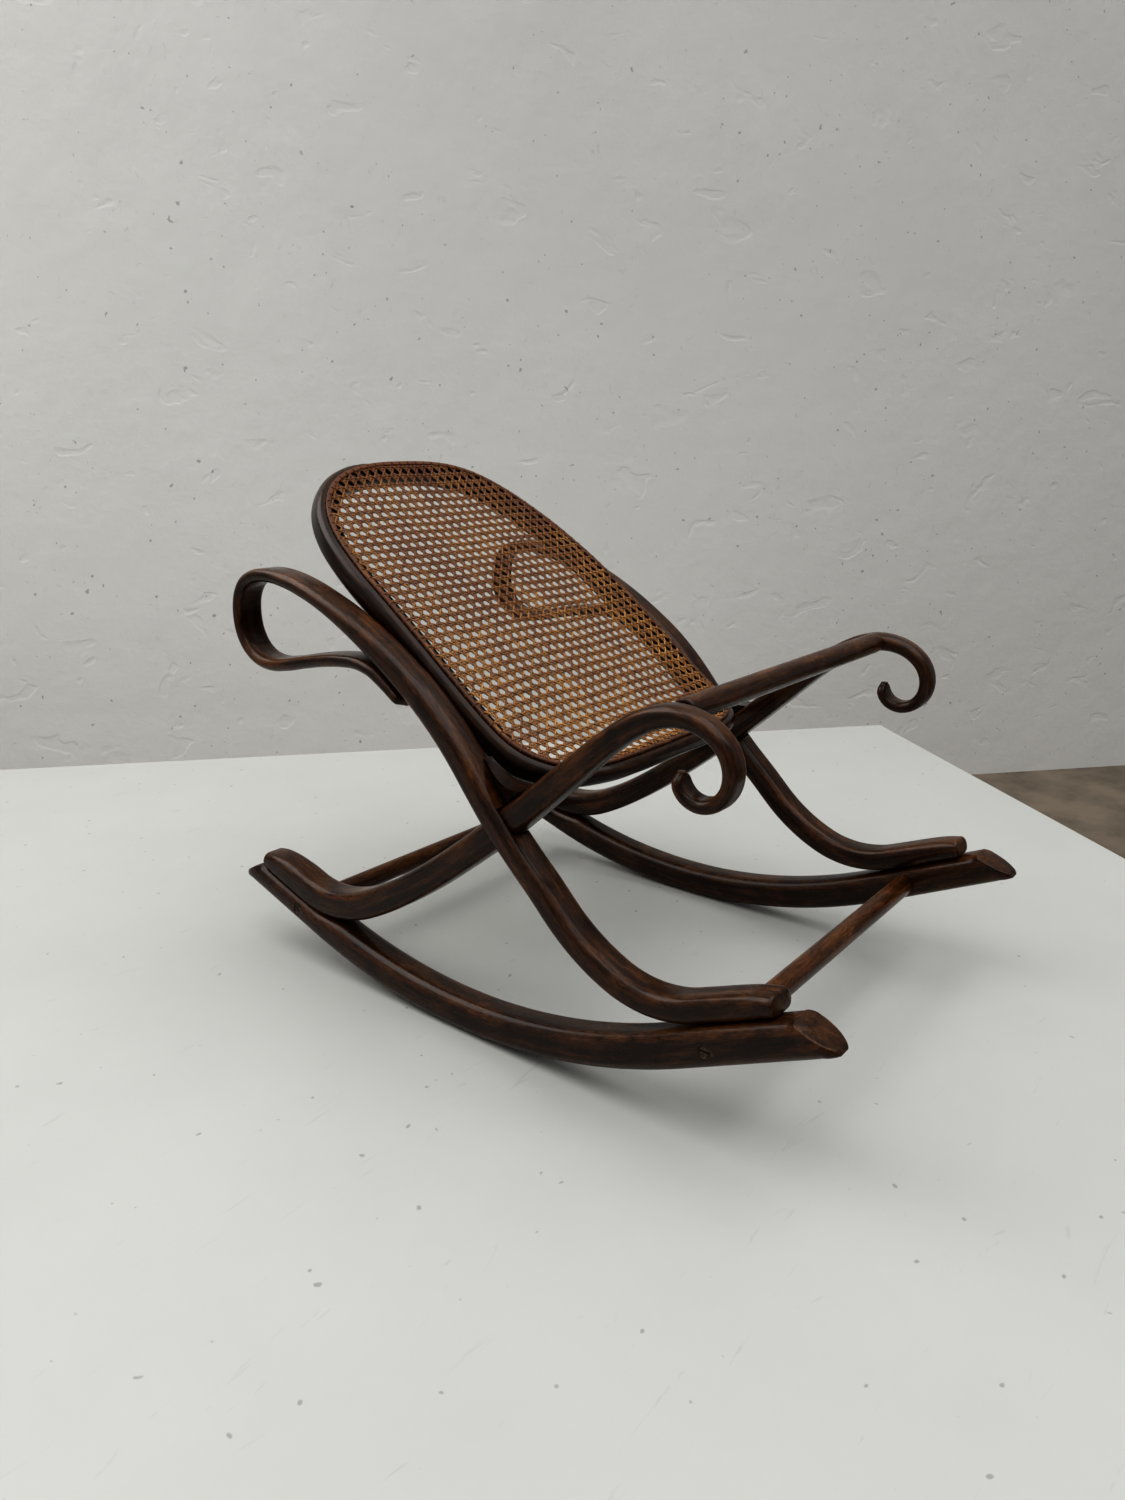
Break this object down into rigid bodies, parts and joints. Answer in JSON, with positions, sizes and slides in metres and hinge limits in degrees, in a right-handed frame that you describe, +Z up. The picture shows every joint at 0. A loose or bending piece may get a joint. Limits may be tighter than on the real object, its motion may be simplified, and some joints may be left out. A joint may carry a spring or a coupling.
{
  "type": "rocking footrest",
  "caption": "Bentwood footrest on two curved rockers, with crossed scroll rails each side and a sloping woven cane panel in a bent frame.",
  "frame": {"origin": "centre of the object's bounding box at floor level, midway between the two rockers", "axes": "+X from the left rocker to the right rocker, -Y toward the low scrolled front, +Y toward the raised end of the cane panel, +Z up"},
  "size_m": [0.41, 0.6546, 0.4823],
  "materials": {
    "rocker_wood": "satin",
    "back_rail_wood": "satin",
    "front_rail_wood": "satin",
    "block_wood": "satin",
    "stretcher_wood": "satin",
    "top_rail_wood": "satin",
    "frame_wood": "satin",
    "woven_cane": "matte",
    "binder_cane": "matte",
    "screw_steel": "satin"
  },
  "bodies": {
    "root": {"rocker_left": "rocker_wood", "rocker_right": "rocker_wood", "back_scroll_rail_left": "back_rail_wood", "back_scroll_rail_right": "back_rail_wood", "front_scroll_rail_left": "front_rail_wood", "front_scroll_rail_right": "front_rail_wood", "corner_block_left": "block_wood", "corner_block_right": "block_wood", "front_stretcher": "stretcher_wood", "back_stretcher": "stretcher_wood", "top_rail": "top_rail_wood", "panel_frame": "frame_wood", "cane_panel": "woven_cane", "cane_binder": "binder_cane", "front_stretcher_screw_left": "screw_steel", "back_stretcher_screw_left": "screw_steel", "front_foot_screw_left": "screw_steel", "back_foot_screw_left": "screw_steel", "crossing_screw_left": "screw_steel", "panel_screw_left_1": "screw_steel", "panel_screw_left_2": "screw_steel", "front_stretcher_screw_right": "screw_steel", "back_stretcher_screw_right": "screw_steel", "front_foot_screw_right": "screw_steel", "back_foot_screw_right": "screw_steel", "crossing_screw_right": "screw_steel", "panel_screw_right_1": "screw_steel", "panel_screw_right_2": "screw_steel"}
  },
  "joints": []
}
